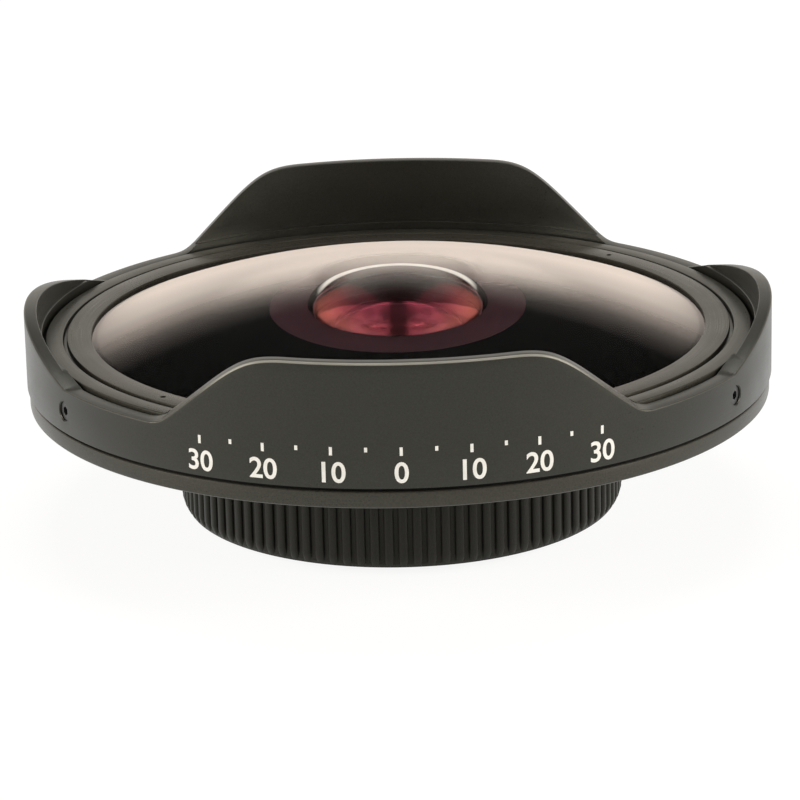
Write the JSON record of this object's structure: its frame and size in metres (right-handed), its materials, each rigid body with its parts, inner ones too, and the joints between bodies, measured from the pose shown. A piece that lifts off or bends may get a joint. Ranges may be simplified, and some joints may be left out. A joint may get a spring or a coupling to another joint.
{
  "type": "fisheye converter lens",
  "caption": "Wide, low converter lens with a domed front glass, a rotating petal hood locked by set screws, and a knurled rear barrel with a male filter thread.",
  "frame": {"origin": "centre of the thread collar's rear face, where the lens meets a camera's filter thread", "axes": "+Z along the optical axis towards the subject, -Y and +Y towards the two tall petals, +X towards a short petal"},
  "size_m": [0.083, 0.083, 0.0294],
  "materials": {
    "hood_anodised": "satin black anodised, brushed grain",
    "housing_anodised": "satin black anodised, turned",
    "ring_anodised": "satin black anodised, turned face",
    "grip_anodised": "satin black anodised, straight knurl",
    "collar_anodised": "satin black anodised, threaded",
    "inner_anodised": "matt black anodised",
    "front_glass": "polished, coated",
    "second_glass": "polished, coated",
    "rear_glass": "polished, coated",
    "seal_rubber": "matt black",
    "washer_plastic": "matt black",
    "baffle_paint": "matt black",
    "screw_steel": "black oxide"
  },
  "bodies": {
    "housing": {"front_housing": "housing_anodised", "front_retaining_ring": "ring_anodised", "front_element": "front_glass", "front_gasket": "seal_rubber", "baffle_plate": "baffle_paint", "second_element": "second_glass", "second_spacer_ring": "washer_plastic", "second_retaining_ring": "inner_anodised", "hood_washer": "washer_plastic"},
    "hood": {"petal_hood": "hood_anodised"},
    "hood_set_screw_1": {"hood_set_screw_1": "screw_steel"},
    "hood_set_screw_2": {"hood_set_screw_2": "screw_steel"},
    "hood_set_screw_3": {"hood_set_screw_3": "screw_steel"},
    "rear_cell": {"rear_cell": "inner_anodised", "rear_crown_element": "rear_glass", "rear_flint_element": "rear_glass", "rear_retaining_ring": "inner_anodised", "stray_light_stop": "baffle_paint"},
    "rear_barrel": {"rear_barrel": "grip_anodised", "mount_ring": "collar_anodised"}
  },
  "joints": [
    {"name": "hood_turn", "type": "hinge", "parent": "housing", "child": "hood", "pos_m": [0, 0, 0.0184], "axis": [0, 0, 1], "continuous": true},
    {"name": "hood_set_screw_1_travel", "type": "slide", "parent": "hood", "child": "hood_set_screw_1", "axis": [-0.866, -0.5, 0], "range_m": [0, 0.0008]},
    {"name": "hood_set_screw_2_travel", "type": "slide", "parent": "hood", "child": "hood_set_screw_2", "axis": [0.866, -0.5, 0], "range_m": [0, 0.0008]},
    {"name": "hood_set_screw_3_travel", "type": "slide", "parent": "hood", "child": "hood_set_screw_3", "axis": [0, 1, 0], "range_m": [0, 0.0008]},
    {"name": "barrel_travel", "type": "slide", "parent": "housing", "child": "rear_cell", "axis": [0, 0, -1], "range_m": [0, 0.003]},
    {"name": "barrel_turn", "type": "hinge", "parent": "rear_cell", "child": "rear_barrel", "pos_m": [0, 0, 0], "axis": [0, 0, -1], "range_deg": [0, 1440]}
  ],
  "couplings": [
    {"joint": "barrel_travel", "follows": "barrel_turn", "m_per_rad": 0.00011937}
  ]
}
